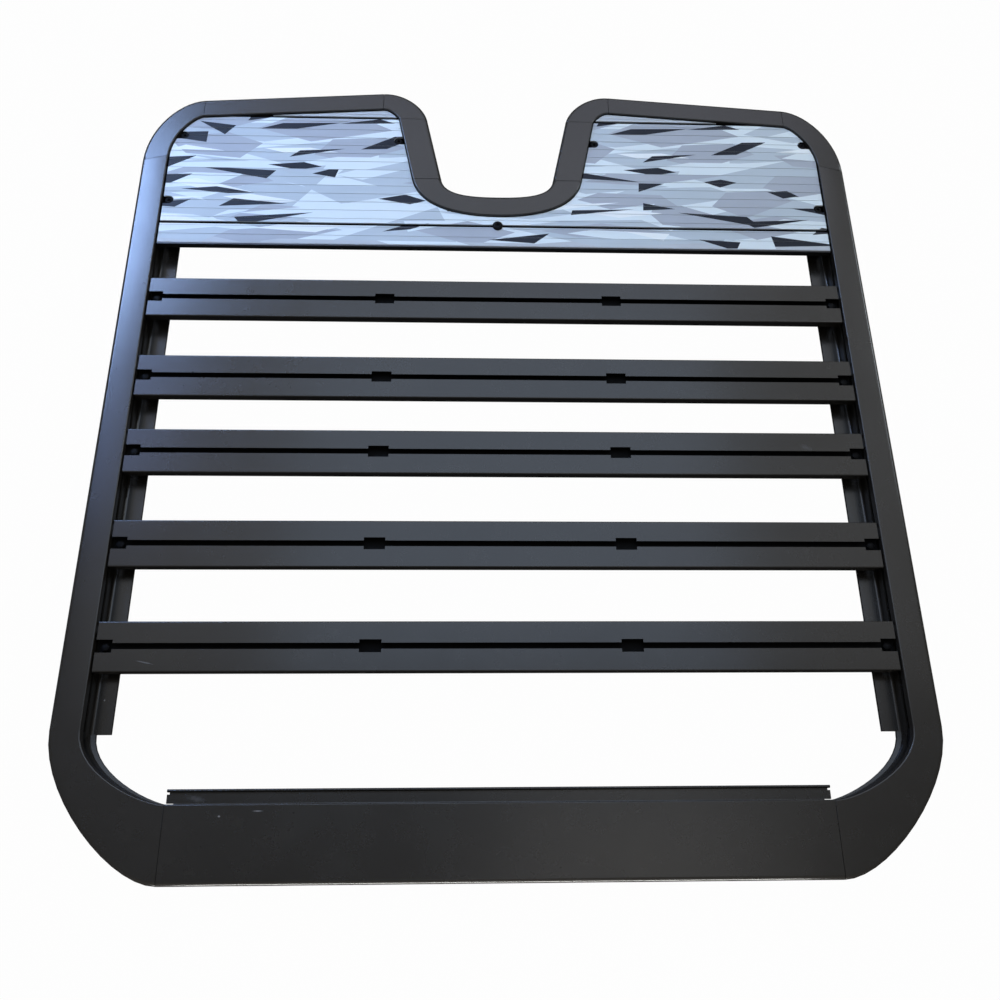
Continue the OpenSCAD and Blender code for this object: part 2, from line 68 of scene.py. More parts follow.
class Graph:
    """A material whose nodes are added one by one and wired to a Principled shader."""

    def __init__(self, name, color, rough):
        self.mat = bpy.data.materials.new(name)
        self.mat.use_nodes = True
        self.tree = self.mat.node_tree
        self.tree.nodes.clear()
        self.out = self.add("ShaderNodeOutputMaterial")
        self.bsdf = self.add("ShaderNodeBsdfPrincipled")
        self.link(self.bsdf.outputs[0], self.out.inputs[0])
        self.bsdf.inputs["Base Color"].default_value = (*color, 1)
        self.bsdf.inputs["Roughness"].default_value = rough
        self.mat.diffuse_color = (*color, 1)
        self.where = self.add("ShaderNodeTexCoord").outputs["Object"]

    def add(self, kind, **props):
        node = self.tree.nodes.new(kind)
        for k, v in props.items():
            setattr(node, k, v)
        return node

    def link(self, a, b):
        self.tree.links.new(a, b)

    def axes(self):
        """X, Y and Z of the place on the object."""
        sep = self.add("ShaderNodeSeparateXYZ")
        self.link(self.where, sep.inputs[0])
        return sep.outputs

    def stretch(self, scale, turn=(0, 0, 0)):
        mapping = self.add("ShaderNodeMapping")
        mapping.inputs["Scale"].default_value = scale
        mapping.inputs["Rotation"].default_value = turn
        self.link(self.where, mapping.inputs["Vector"])
        return mapping.outputs[0]

    def noise(self, scale, detail=3, rough=0.5, at=None):
        node = self.add("ShaderNodeTexNoise")
        node.inputs["Scale"].default_value = scale
        node.inputs["Detail"].default_value = detail
        node.inputs["Roughness"].default_value = rough
        self.link(at or self.where, node.inputs["Vector"])
        return node.outputs[0]

    def steps(self, value, lo, hi, a=0.0, b=1.0):
        """value between lo and hi becomes a to b, smoothly."""
        node = self.add("ShaderNodeMapRange", interpolation_type="SMOOTHSTEP")
        self.link(value, node.inputs["Value"])
        for k, v in zip(("From Min", "From Max", "To Min", "To Max"), (lo, hi, a, b)):
            node.inputs[k].default_value = v
        return node.outputs[0]

    def math(self, op, *values):
        node = self.add("ShaderNodeMath", operation=op)
        for v, socket in zip(values, node.inputs):
            if isinstance(v, (int, float)):
                socket.default_value = v
            else:
                self.link(v, socket)
        return node.outputs[0]

    def mix(self, factor, a, b):
        node = self.add("ShaderNodeMix", data_type="RGBA")
        for v, socket in ((factor, node.inputs[0]), (a, node.inputs[6]), (b, node.inputs[7])):
            if isinstance(v, tuple):
                socket.default_value = (*v, 1)
            elif isinstance(v, (int, float)):
                socket.default_value = v
            else:
                self.link(v, socket)
        return node.outputs[2]

    def bump(self, height, distance, strength=1.0, under=None):
        """Normal bent by height; under is the normal of a coarser bump."""
        node = self.add("ShaderNodeBump")
        node.inputs["Strength"].default_value = strength
        node.inputs["Distance"].default_value = distance
        self.link(height, node.inputs["Height"])
        if under is not None:
            self.link(under, node.inputs["Normal"])
        return node.outputs[0]

    def spot(self, x, y, long, wide, turn=0.0, soft=0.3, ragged=0.0, heights=None):
        """1 inside an ellipse round x, y in metres and 0 outside it, if asked between two heights only."""
        axes = self.axes()
        dx = self.math("SUBTRACT", axes[0], x)
        dy = self.math("SUBTRACT", axes[1], y)
        cos, sin = math.cos(turn), math.sin(turn)
        u = self.math("ADD", self.math("MULTIPLY", dx, cos / long), self.math("MULTIPLY", dy, sin / long))
        v = self.math("ADD", self.math("MULTIPLY", dx, -sin / wide), self.math("MULTIPLY", dy, cos / wide))
        r = self.math("SQRT", self.math("ADD", self.math("MULTIPLY", u, u), self.math("MULTIPLY", v, v)))
        if ragged:
            r = self.math("ADD", r, self.math("MULTIPLY", self.noise(1 / max(wide, 2 * MM), 2), ragged))
        spot = self.steps(r, 1 - soft, 1 + soft, 1, 0)
        if heights:
            low, high = heights
            spot = self.math("MULTIPLY", spot, self.steps(axes[2], low, low + 0.5 * MM))
            spot = self.math("MULTIPLY", spot, self.steps(axes[2], high, high + 0.5 * MM, 1, 0))
        return spot

    def crown(self):
        """Height of a slightly arched rail top: the rails' upper face falls away to both of its edges."""
        off = self.math("SUBTRACT", self.math("ABSOLUTE", self.axes()[0]), RAIL_X)
        return self.math("MULTIPLY", self.math("MULTIPLY", off, off), -CROWN)

    def band(self, z0, z1, y0, y1):
        """1 between two heights and two distances along Y, with a softer end at y0."""
        axes = self.axes()
        soft, softer = 0.4 * MM, 4 * MM
        up = self.math("SUBTRACT", self.steps(axes[2], z0 - soft, z0 + soft),
                       self.steps(axes[2], z1 - soft, z1 + soft))
        on = self.math("SUBTRACT", self.steps(axes[1], y0 - softer, y0 + softer),
                       self.steps(axes[1], y1 - soft, y1 + soft))
        return self.math("MULTIPLY", up, on)


SPECK, SCRATCH, UNLIT = (0.16, 0.16, 0.16), (0.06, 0.06, 0.063), (0.001, 0.001, 0.001)


def paint(name, deep, pale, rough, along=None, marks=(), specks=1.0, crown=False, band=None, shine=0.5):
    """Satin powder coat: mottled black, fine orange peel, dust, handling scratches and paler rubbed edges.

    along is the axis in which the piece was extruded. Each mark is a strength, a colour and a
    place for spot(). band is the place of a strip without light."""
    g = Graph(name, deep, rough)
    cloud = g.steps(g.noise(5, 4, 0.6), 0.35, 0.68)
    color = g.mix(cloud, deep, pale)
    rubbed = g.steps(g.noise(38, 5, 0.7), 0.52, 0.78)
    color = g.mix(g.math("MULTIPLY", rubbed, 0.35), color, tuple(min(1, v * 1.6 + 0.002) for v in pale))
    # Dust: sparse pale specks
    dots = g.add("ShaderNodeTexVoronoi", feature="F1")
    dots.inputs["Scale"].default_value = 170
    dots.inputs["Randomness"].default_value = 1
    g.link(g.where, dots.inputs["Vector"])
    chosen = g.steps(dots.outputs["Color"], 0.84, 0.88)
    speck = g.math("MULTIPLY", g.steps(dots.outputs["Distance"], 0.05, 0.12, 1, 0), chosen)
    patchy = g.steps(g.noise(9, 2), 0.48, 0.64)
    speck = g.math("MULTIPLY", g.math("MULTIPLY", speck, patchy), 0.12 * specks)
    color = g.mix(speck, color, SPECK)
    # Long handling scratches, mostly along the piece
    lines = g.stretch((3, 260, 260) if along == "x" else (260, 3, 260), turn=(0, 0, 0.12))
    scratch = g.steps(g.noise(1.0, 2, 0.4, at=lines), 0.745, 0.79)
    scratch = g.math("MULTIPLY", scratch, g.steps(g.noise(4.3, 2), 0.52, 0.68))
    color = g.mix(g.math("MULTIPLY", scratch, 0.07), color, SCRATCH)
    # Painted shade: a near-black strip over the band
    if band:
        color = g.mix(g.band(*band), color, UNLIT)
    for much, tint, place in marks:
        color = g.mix(g.math("MULTIPLY", g.spot(**place), much), color, tint)
    g.link(color, g.bsdf.inputs["Base Color"])
    r = g.math("ADD", rough - 0.05, g.math("MULTIPLY", g.noise(14, 4, 0.6), 0.10))
    r = g.math("ADD", r, g.math("MULTIPLY", scratch, 0.04))
    g.link(r, g.bsdf.inputs["Roughness"])
    peel = g.bump(g.noise(420, 2, 0.5), 0.12 * MM, 0.30)
    if along:
        drawn = g.stretch((6, 900, 900) if along == "x" else (900, 6, 900))
        peel = g.bump(g.noise(1.0, 2, 0.5, at=drawn), 0.06 * MM, 0.25, under=peel)
    if crown:
        peel = g.bump(g.crown(), 1.0, 1.0, under=peel)
    g.link(peel, g.bsdf.inputs["Normal"])
    g.bsdf.inputs["Specular IOR Level"].default_value = shine
    return g.mat


def printed(name, color, shade, rough=0.42, shine=0.14):
    """Printed and lacquered aluminium: slightly uneven ink, fine drawn lines, dirt and orange peel."""
    g = Graph(name, color, rough)
    cloud = g.steps(g.noise(7, 4, 0.55), 0.36, 0.66)
    c = g.mix(cloud, color, shade)
    drawn = g.noise(1.0, 2, 0.5, at=g.stretch((1.6, 300, 300)))
    c = g.mix(g.math("MULTIPLY", g.steps(drawn, 0.55, 0.8), 0.16), c, tuple(v * 0.82 for v in color))
    dirt = g.math("MULTIPLY", g.steps(g.noise(46, 5, 0.7), 0.60, 0.80), 0.10)
    c = g.mix(dirt, c, tuple(v * 0.6 for v in color))
    g.link(c, g.bsdf.inputs["Base Color"])
    r = g.math("ADD", rough - 0.05, g.math("MULTIPLY", g.noise(24, 3, 0.6), 0.1))
    g.link(r, g.bsdf.inputs["Roughness"])
    peel = g.bump(g.noise(520, 2, 0.5), 0.08 * MM, 0.2)
    peel = g.bump(drawn, 0.08 * MM, 0.25, under=peel)
    g.link(peel, g.bsdf.inputs["Normal"])
    g.bsdf.inputs["Specular IOR Level"].default_value = shine
    return g.mat


def oxide(name, color, rough, shine=0.10):
    """Blackened steel of the bolts, with a fine grain and rubbed, brighter patches."""
    g = Graph(name, color, rough)
    worn = g.steps(g.noise(190, 4, 0.7), 0.54, 0.72)
    c = g.mix(g.math("MULTIPLY", worn, 0.5), color, (0.015, 0.015, 0.016))
    g.link(c, g.bsdf.inputs["Base Color"])
    g.link(g.math("ADD", rough, g.math("MULTIPLY", g.noise(300, 3), 0.15)), g.bsdf.inputs["Roughness"])
    g.link(g.bump(g.noise(900, 3, 0.6), 0.08 * MM, 0.5), g.bsdf.inputs["Normal"])
    g.bsdf.inputs["Specular IOR Level"].default_value = shine
    return g.mat


BARE = (0.30, 0.30, 0.31)
BLACK, SOOT = (0.0125, 0.0112, 0.0092), (0.0165, 0.0150, 0.0128)
RAIL = paint("rail_paint", BLACK, SOOT, 0.24, along="y", crown=True, marks=[
    (0.7, BARE, dict(x=-0.5706, y=-0.4282, long=0.0011, wide=0.0011, soft=0.25)),
    (0.7, BARE, dict(x=-0.5824, y=-0.4425, long=0.0028, wide=0.0030, heights=(0.026, 0.032))),
    (0.25, (0.05, 0.05, 0.05), dict(x=0.601, y=-0.4845, long=0.017, wide=0.0035, soft=0.6, ragged=0.4))])
BAR = paint("bar_paint", BLACK, SOOT, 0.25, along="x")
PLATE = paint("plate_paint", BLACK, SOOT, 0.27, along="x", marks=[
    (0.8, BARE, dict(x=-0.3823, y=-0.5906, long=0.0020, wide=0.0014, ragged=0.5)),
    (0.6, BARE, dict(x=-0.3313, y=-0.5840, long=0.0070, wide=0.0010, soft=0.5, ragged=0.6)),
    (0.45, (0.10, 0.10, 0.10), dict(x=-0.4260, y=-0.5645, long=0.0150, wide=0.0045, turn=-0.2,
                                    soft=0.6, ragged=0.9))])
CAST = paint("cast_paint", BLACK, SOOT, 0.25)
# Painted shade: the inner wall of a front corner gets a near-black strip where the rail's groove runs out,
# in place of the groove's shadow
CORNER = paint("corner_paint", BLACK, SOOT, 0.25, band=(0.0245, 0.0335, FRONT_Y + 0.138, FRONT_Y + 0.204))
SLAT = paint("slat_paint", BLACK, SOOT, 0.21, along="x", specks=0.4, marks=[
    (0.9, (0.12, 0.12, 0.12), dict(x=-0.509, y=-0.3812, long=0.0120, wide=0.0009, turn=-0.2,
                                   soft=0.5, ragged=0.5)),
    (0.35, (0.08, 0.08, 0.085), dict(x=0.488, y=-0.0378, long=0.0110, wide=0.0050, turn=-0.44,
                                     soft=0.7, ragged=0.9))])
TRIM = paint("trim_paint", (0.0035, 0.0035, 0.0037), (0.0060, 0.0060, 0.0063), 0.45, along="x", specks=0.3)
BOLT = oxide("bolt_oxide", (0.003, 0.003, 0.0032), 0.60)
PALE = printed("print_pale", (0.640, 0.720, 0.740), (0.665, 0.745, 0.765))
BLUE = printed("print_blue", (0.435, 0.500, 0.540), (0.455, 0.520, 0.560))
GREY = printed("print_grey", (0.360, 0.395, 0.440), (0.380, 0.415, 0.460))
DARK = printed("print_dark", (0.012, 0.015, 0.022), (0.018, 0.022, 0.031), 0.45)
PLAIN = printed("print_plain", (0.44, 0.48, 0.51), (0.47, 0.51, 0.54))
# Painted shade: a near-black paint, far darker than the black paint itself, for the insides of slots,
# grooves and seams, in place of the shade that falls in them
CHANNEL_SHADE = paint("channel_painted_shade", (0.0022, 0.0022, 0.0024), (0.0035, 0.0035, 0.0037), 0.6, along="x",
               specks=0.0, shine=0.06)
WHITE = printed("print_white", (0.750, 0.800, 0.795), (0.770, 0.815, 0.810))
# Material slots of a plank, in this order
PLANK_SLOTS = (PALE, BLUE, GREY, DARK, PLAIN, CHANNEL_SHADE, WHITE)
IS_PALE, IS_BLUE, IS_GREY, IS_DARK, IS_PLAIN, IS_SHADE, IS_WHITE = range(7)


# Pieces made from the CAD nodes

# Half the width of an open seam, and the width of a broken edge
SEAM, EDGE = 0.38 * MM, 0.30 * MM
# Edges sharper and longer than this are broken
SHARP, SHORT = math.radians(40), 1.5 * MM
# Faces larger than this are shaded flat
LARGE = 2000 * MM * MM


def solid_copy(node, name):
    """A copy of a CAD node's mesh with its corners joined and its flat faces whole."""
    mesh = bpy.data.meshes.new(name)
    obj = bpy.data.objects.new(name, mesh)
    bpy.context.scene.collection.objects.link(obj)
    bm = bmesh.new()
    bm.from_mesh(NODES[node].data)
    bmesh.ops.remove_doubles(bm, verts=bm.verts, dist=WELD)
    bmesh.ops.dissolve_limit(bm, angle_limit=math.radians(0.3), verts=bm.verts, edges=bm.edges)
    return obj, bm


def shade(bm, angle=34):
    """Large plane faces stay flat, so that no shading runs across them; narrow strips are smooth."""
    for f in bm.faces:
        f.smooth = f.calc_area() < LARGE
    for e in bm.edges:
        e.smooth = len(e.link_faces) == 2 and e.calc_face_angle(0) < math.radians(angle)


def in_plane(vert, point, normal):
    return abs((vert.co - Vector(point)).dot(Vector(normal))) < NEAR


def ends_in(bm, planes):
    """Moves the faces on the given joint planes back, so that a fine open seam is left."""
    centre = sum((v.co for v in bm.verts), Vector()) / len(bm.verts)
    for point, normal in planes:
        point, normal = Vector(point), Vector(normal).normalized()
        axis = Vector((1, 0, 0)) if abs(normal.x) > abs(normal.y) else Vector((0, 1, 0))
        back = axis * math.copysign(SEAM, (centre - point).dot(normal) * normal.dot(axis))
        for v in bm.verts:
            if in_plane(v, point, normal):
                v.co += back


def break_edges(bm, closed=()):
    """Breaks the sharp edges, but not those in a closed joint plane."""
    def in_joint(edge):
        return any(all(in_plane(v, *plane) for v in edge.verts) for plane in closed)

    edges = [e for e in bm.edges
             if len(e.link_faces) == 2 and e.calc_face_angle(0) > SHARP
             and e.calc_length() > SHORT and not in_joint(e)]
    bmesh.ops.bevel(bm, geom=edges, offset=EDGE, segments=2, profile=0.5, affect="EDGES",
                    clamp_overlap=True)


def dress(node, material, seams=(), closed=()):
    """The painted piece that stands for a CAD node, with open seams and closed joints at given planes."""
    obj, bm = solid_copy(node, node + "_painted")
    ends_in(bm, seams)
    break_edges(bm, closed)
    shade(bm)
    bm.normal_update()
    bm.to_mesh(obj.data)
    bm.free()
    obj.data.materials.append(material)
    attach(obj, "root")
    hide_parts(node)
    return obj


def both(x, y, nx, ny):
    """The same joint plane on the right and on the left side."""
    return {"right": ((x, y, 0), (nx, ny, 0)), "left": ((-x, y, 0), (-nx, ny, 0))}


PLATE_JOINT = both(PLATE_JOINT_X, 0, 1, 0)
FRONT_JOINT = both(0, FRONT_JOINT_Y, 0, -1)
REAR_JOINT = both(SIDE_X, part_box("rear_corner_right")[0].y, LEAN, RAIL_W)
BAR_JOINT = both(BAR_JOINT_X, 0, 1, 0)
TIP_JOINT = both(TIP_JOINT_X, 0, -1, 0)
# Both ends of the notch arms along Y
ARM_REAR_Y, ARM_FRONT_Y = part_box("notch_side_right")[1].y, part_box("notch_side_right")[0].y


def paint_channel_shade(obj):
    """Faces down in a slat's slot take the near-black channel paint, painted shade for the slot's inside.
    """
    below, reach = DECK_TOP - 2.2 * MM, 13.4 * MM
    obj.data.materials.append(CHANNEL_SHADE)
    ys = [v.co.y for v in obj.data.vertices]
    mid = (min(ys) + max(ys)) / 2
    for f in obj.data.polygons:
        c = f.center
        if c.z < below and abs(c.y - mid) < reach and abs(f.normal.x) < 0.5:
            f.material_index = 1


def dress_frame():
    arm_rear, arm_front = (0, ARM_REAR_Y, 0), (0, ARM_FRONT_Y, 0)
    ahead, behind = (0, -1, 0), (0, 1, 0)
    for side in ("left", "right"):
        dress(f"side_rail_{side}", RAIL, [REAR_JOINT[side]], closed=[FRONT_JOINT[side]])
        dress(f"front_corner_{side}", CORNER, [PLATE_JOINT[side]], closed=[FRONT_JOINT[side]])
        dress(f"rear_corner_{side}", CAST, [BAR_JOINT[side], REAR_JOINT[side]])
        dress(f"rear_bar_{side}", BAR, [BAR_JOINT[side], TIP_JOINT[side]])
        dress(f"notch_corner_{side}", CAST, [TIP_JOINT[side], (arm_rear, ahead)])
        dress(f"notch_side_{side}", BAR, [(arm_rear, behind), (arm_front, ahead)])
    dress("front_rail", PLATE, [PLATE_JOINT["left"], PLATE_JOINT["right"]])
    dress("notch_bow", CAST, [(arm_front, behind)])
    for i in range(1, 6):
        paint_channel_shade(dress(f"slat_{i}", SLAT))
    dress("deck_trim", TRIM)


# Heights of a tongue, and half its length across the seam and along it
TONGUE_LOW, TONGUE_TOP = 39.4 * MM, 40.7 * MM
ACROSS, ACROSS_ARM = 5 * MM, 4 * MM
ALONG_PLATE, ALONG_BAR, ALONG_ARM = 44 * MM, 11 * MM, 18 * MM
# Middles of the tongues along Y, in the plate, between a bar and its rear corner, and at a tip
PLATE_MID_Y, BAR_MID_Y, TIP_MID_Y = FRONT_Y + 51 * MM, TIP_Y - 43 * MM, TIP_Y - 20 * MM


def tongues():
    """Tongues of the castings inside the rails, which close the seams from below; their near-black channel
    paint is painted shade seen through the seams.
    """
    bm = bmesh.new()
    rear_y = REAR_JOINT["right"][0][1] + LEAN / 2
    lean = math.atan2(LEAN, RAIL_W)
    # Middle of the tongue, half its length along X and along Y, and its turn
    spans = [(PLATE_JOINT_X, PLATE_MID_Y, ACROSS, ALONG_PLATE, 0),
             (RAIL_X, rear_y, RAIL_W / 2 - ACROSS, ACROSS, -lean),
             (BAR_JOINT_X, BAR_MID_Y, ACROSS, ALONG_BAR, 0),
             (TIP_JOINT_X, TIP_MID_Y, ACROSS, ALONG_BAR, 0),
             (ARM_X[0], ARM_REAR_Y, ALONG_ARM, ACROSS_ARM, 0),
             (ARM_X[1], ARM_FRONT_Y, ALONG_ARM, ACROSS_ARM, 0)]
    for x, y, half_x, half_y, turn in spans:
        for side in (-1, 1):
            cos, sin = math.cos(side * turn), math.sin(side * turn)
            corners = [(side * x + u * half_x * cos - v * half_y * sin,
                        y + u * half_x * sin + v * half_y * cos)
                       for u, v in ((-1, -1), (1, -1), (1, 1), (-1, 1))]
            low = [bm.verts.new((*corner, TONGUE_LOW)) for corner in corners]
            top = [bm.verts.new((*corner, TONGUE_TOP)) for corner in corners]
            bm.faces.new(list(reversed(low)))
            bm.faces.new(top)
            skin(bm, low, top)
    mesh = bpy.data.meshes.new("joint_tongues")
    bm.to_mesh(mesh)
    bm.free()
    mesh.materials.append(CHANNEL_SHADE)
    obj = bpy.data.objects.new("joint_tongues", mesh)
    bpy.context.scene.collection.objects.link(obj)
    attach(obj, "root")


# The print on the deck: a seeded scatter of angular shards

def shard(rng, cx, cy, long, high, lean, kind):
    """A convex polygon in millimetres, anticlockwise. Every form is drawn, and one of them is kept."""
    h = high / 2
    forms = {
        "wedge": [(-0.5, rng.uniform(-0.6, 0.2)), (0.5, -1), (rng.uniform(0.2, 0.5), 1)],
        "kite": [(-0.5, rng.uniform(-0.4, 0.4)), (rng.uniform(-0.2, 0.1), -1),
                 (0.5, rng.uniform(-0.5, 0.3)), (rng.uniform(-0.1, 0.25), 1)],
        "bar": [(-0.5, -0.5), (0.42, -1), (0.5, rng.uniform(0.1, 0.7)), (-0.46, rng.uniform(0.1, 0.5))],
        "slab": [(-0.5, rng.uniform(-0.3, 0.1)), (-0.28, -1), (0.30, -0.9),
                 (0.5, rng.uniform(-0.1, 0.5)), (0.1, 1)],
    }
    pts = forms[kind]
    if rng.random() < 0.5:
        pts = [(-x, y) for x, y in reversed(pts)]
    if rng.random() < 0.5:
        pts = [(x, -y) for x, y in reversed(pts)]
    c, s = math.cos(lean), math.sin(lean)
    return [Vector((cx + x * long * c - y * h * s, cy + x * long * s + y * h * c)) for x, y in pts]


# Draws allowed for each shard that is wanted
TRIES = 60


def scatter(rng, x0, x1, y0, y1, count, apart, sizes, lean, kinds, index):
    """Shards of one material, whose centres keep apart from each other."""
    out, centres = [], []
    for _ in range(count * TRIES):
        if len(out) == count:
            break
        cx, cy = rng.uniform(x0, x1), rng.uniform(y0, y1)
        if any(abs(cx - a) / apart[0] + abs(cy - b) / apart[1] < 1 for a, b in centres):
            continue
        centres.append((cx, cy))
        (l0, l1), (h0, h1) = sizes
        out.append((index, shard(rng, cx, cy, rng.uniform(l0, l1), rng.uniform(h0, h1),
                                 rng.uniform(-lean, lean), rng.choice(kinds))))
    return out


# From the ground up: material, thousands of mm² for each shard, least distances of the centres,
# lengths and heights, largest lean in radians, and forms
LAYERS = (
    (IS_BLUE, 9, (200, 48), ((170, 350), (40, 78)), 0.10, ("kite", "slab", "wedge")),
    (IS_GREY, 13, (180, 46), ((130, 270), (30, 60)), 0.14, ("slab", "kite", "slab")),
    (IS_PALE, 16, (160, 40), ((110, 250), (16, 42)), 0.16, ("wedge", "kite", "slab")),
    (IS_WHITE, 19, (150, 38), ((80, 190), (9, 26)), 0.22, ("wedge", "kite")),
    (IS_DARK, 6.5, (128, 40), ((48, 150), (9, 25)), 0.24, ("wedge", "kite", "wedge")),
)


def layout(seed, x0, x1, y0, y1):
    """All layers over a field in millimetres."""
    rng = random.Random(seed)
    area = (x1 - x0) * (y1 - y0) / 1000
    made = []
    for index, share, apart, sizes, lean, kinds in LAYERS:
        made += scatter(rng, x0, x1, y0, y1, int(area / share), apart, sizes, lean, kinds, index)
    return made


# The least share of Z in the normal of an upward face, and the depth within which it carries print
UPWARD, PRINT_DEPTH = 0.9, 1.5 * MM


def cut_print(bm, shards):
    """Cuts the upward faces along each shard's edges and gives the faces inside it the shard's material.

    Returns the upward faces."""
    lowest = DECK_TOP - PRINT_DEPTH
    live = {f for f in bm.faces if f.normal.z > UPWARD and f.calc_center_median().z > lowest}
    for index, poly in shards:
        pts = [p * MM for p in poly]
        lo_x, hi_x = min(p.x for p in pts), max(p.x for p in pts)
        lo_y, hi_y = min(p.y for p in pts), max(p.y for p in pts)
        inside = []
        for f in live:
            xs = [v.co.x for v in f.verts]
            ys = [v.co.y for v in f.verts]
            if max(xs) > lo_x and min(xs) < hi_x and max(ys) > lo_y and min(ys) < hi_y:
                inside.append(f)
        live.difference_update(inside)
        for a, b in zip(pts, pts[1:] + pts[:1]):
            along = (b - a).normalized()
            normal = Vector((-along.y, along.x, 0))
            point = Vector((a.x, a.y, 0))
            edges = {e for f in inside for e in f.edges}
            verts = {v for f in inside for v in f.verts}
            got = bmesh.ops.bisect_plane(bm, geom=list(inside) + list(edges) + list(verts), dist=1e-7,
                                         plane_co=point, plane_no=normal)
            cut = [g for g in got["geom"] if isinstance(g, bmesh.types.BMFace)]
            inside = {f for f in cut if (f.calc_center_median() - point).dot(normal) > 0}
            live.update(f for f in cut if f not in inside)
            if not inside:
                break
        for f in inside:
            f.material_index = index
        live.update(inside)
    return live


SEEDS = {"front": 23, "rear": 41}
# Half the width of the printed field, and the distances in mm from the deck's front edge
# to where the print starts and to the foremost centre of a shard
PRINT_HALF, PRINT_START, SHARDS_START = 600, 6, 12
# The right rear plank takes the left one's print, moved along X
PRINT_SHIFT = 634
# Distance in mm from the rear tips to the groove of the rear planks, behind which they are plain
GROOVE_BACK = 57


def dress_deck():
    y0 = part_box("deck_front_plank")[0].y / MM
    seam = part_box("deck_front_plank")[1].y / MM
    groove = TIP_Y / MM - GROOVE_BACK
    plans = {
        "deck_front_plank": layout(SEEDS["front"], -PRINT_HALF, PRINT_HALF, y0 + SHARDS_START, seam),
        "deck_rear_plank_left": layout(SEEDS["rear"], -PRINT_HALF, 0, seam, groove),
    }
    plans["deck_rear_plank_right"] = [(i, [p + Vector((PRINT_SHIFT, 0)) for p in poly])
                                      for i, poly in plans["deck_rear_plank_left"]]
    back = groove * MM
    front = (y0 + PRINT_START) * MM
    in_groove = DECK_TOP - 2.9 * MM
    for node, shards in plans.items():
        obj, bm = solid_copy(node, node + "_printed")
        tops = cut_print(bm, shards)
        for f in bm.faces:
            f.smooth = False
            c = f.calc_center_median()
            # Painted shade: faces off the top that lie deeper than the grooves' upper part, the grooves'
            # floors and the plank's lower faces, take the near-black channel paint
            if f not in tops:
                f.material_index = IS_SHADE if c.z < in_groove else IS_PLAIN
            elif c.y > back or c.y < front:
                f.material_index = IS_PLAIN
        bm.to_mesh(obj.data)
        bm.free()
        for m in PLANK_SLOTS:
            obj.data.materials.append(m)
        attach(obj, "root")
        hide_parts(node)


# Bolts with real heads

def ring(bm, r, z, n, c):
    """n new vertices on a circle of radius r round c at height z."""
    return [bm.verts.new((c[0] + r * math.cos(2 * math.pi * i / n),
                          c[1] + r * math.sin(2 * math.pi * i / n), z)) for i in range(n)]


def skin(bm, a, b):
    """Faces between two rings."""
    n = len(a)
    for i in range(n):
        bm.faces.new((a[i], a[(i + 1) % n], b[(i + 1) % n], b[i]))


def button_head(bm, c, z, r, h, socket=2.5 * MM):
    """Low domed head with a hexagon socket."""
    n = 36
    # Shares of the radius and of the height, from the foot to the rim of the socket
    profile = ((1, 0), (1, 0.35), (0.93, 0.68), (0.74, 0.92), (0.52, 1))
    rings = [ring(bm, r * across, z + h * up, n, c) for across, up in profile]
    bm.faces.new(list(reversed(rings[0])))
    for a, b in zip(rings, rings[1:]):
        skin(bm, a, b)
    lip = []
    for i in range(n):
        t = 2 * math.pi * i / n
        k = socket / math.cos((t % (math.pi / 3)) - math.pi / 6)
        lip.append(bm.verts.new((c[0] + k * math.cos(t), c[1] + k * math.sin(t), z + h * 0.97)))
    skin(bm, rings[-1], lip)
    deep = [bm.verts.new((v.co.x, v.co.y, z + h * 0.35)) for v in lip]
    skin(bm, lip, deep)
    bm.faces.new(deep)


def hex_head(bm, c, z, r, h):
    """Hexagon head, chamfered on top, on a flange washer."""
    flange = z + 1.2 * MM
    w0, w1 = ring(bm, r * 1.12, z, 32, c), ring(bm, r * 1.12, flange, 32, c)
    bm.faces.new(list(reversed(w0)))
    skin(bm, w0, w1)
    bm.faces.new(w1)
    a = ring(bm, r, flange, 6, c)
    b = ring(bm, r, z + h * 0.86, 6, c)
    d = ring(bm, r * 0.86, z + h, 6, c)
    bm.faces.new(list(reversed(a)))
    skin(bm, a, b)
    skin(bm, b, d)
    bm.faces.new(d)


def rod(bm, c, r, z0, z1):
    """Closed upright cylinder round c."""
    a, b = ring(bm, r, z0, 24, c), ring(bm, r, z1, 24, c)
    bm.faces.new(list(reversed(a)))
    skin(bm, a, b)
    bm.faces.new(b)


def bolts_of(node):
    """Centre, foot and top of each bolt of a CAD node, in the mesh's order. A bolt is one loose solid."""
    bm = bmesh.new()
    bm.from_mesh(NODES[node].data)
    bmesh.ops.remove_doubles(bm, verts=bm.verts, dist=WELD)
    seen, out = set(), []
    for start in bm.verts:
        if start in seen:
            continue
        seen.add(start)
        todo, group = [start], []
        while todo:
            v = todo.pop()
            group.append(v.co.copy())
            near = [o for o in (e.other_vert(v) for e in v.link_edges) if o not in seen]
            seen.update(near)
            todo.extend(near)
        xs, ys, zs = zip(*group)
        out.append((((min(xs) + max(xs)) / 2, (min(ys) + max(ys)) / 2), min(zs), max(zs)))
    bm.free()
    return out


def finish_piece(bm, name, nodes, material):
    """Makes a piece of a bmesh and lets it replace the given CAD nodes."""
    mesh = bpy.data.meshes.new(name)
    shade(bm, 30)
    bm.normal_update()
    bm.to_mesh(mesh)
    bm.free()
    mesh.materials.append(material)
    obj = bpy.data.objects.new(name, mesh)
    bpy.context.scene.collection.objects.link(obj)
    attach(obj, "root")
    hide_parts(*nodes)


# Radii and heights of the bolts
SHANK_R = 4 * MM
SLAT_HEAD_R, SLAT_HEAD_H = 6.4 * MM, 5.5 * MM
SLEEVE_R, SLEEVE_Z = 5.5 * MM, 5 * MM
DECK_HEAD_R, DECK_HEAD_H = 7.5 * MM, 4 * MM
MIDDLE_HEAD_R = 9 * MM


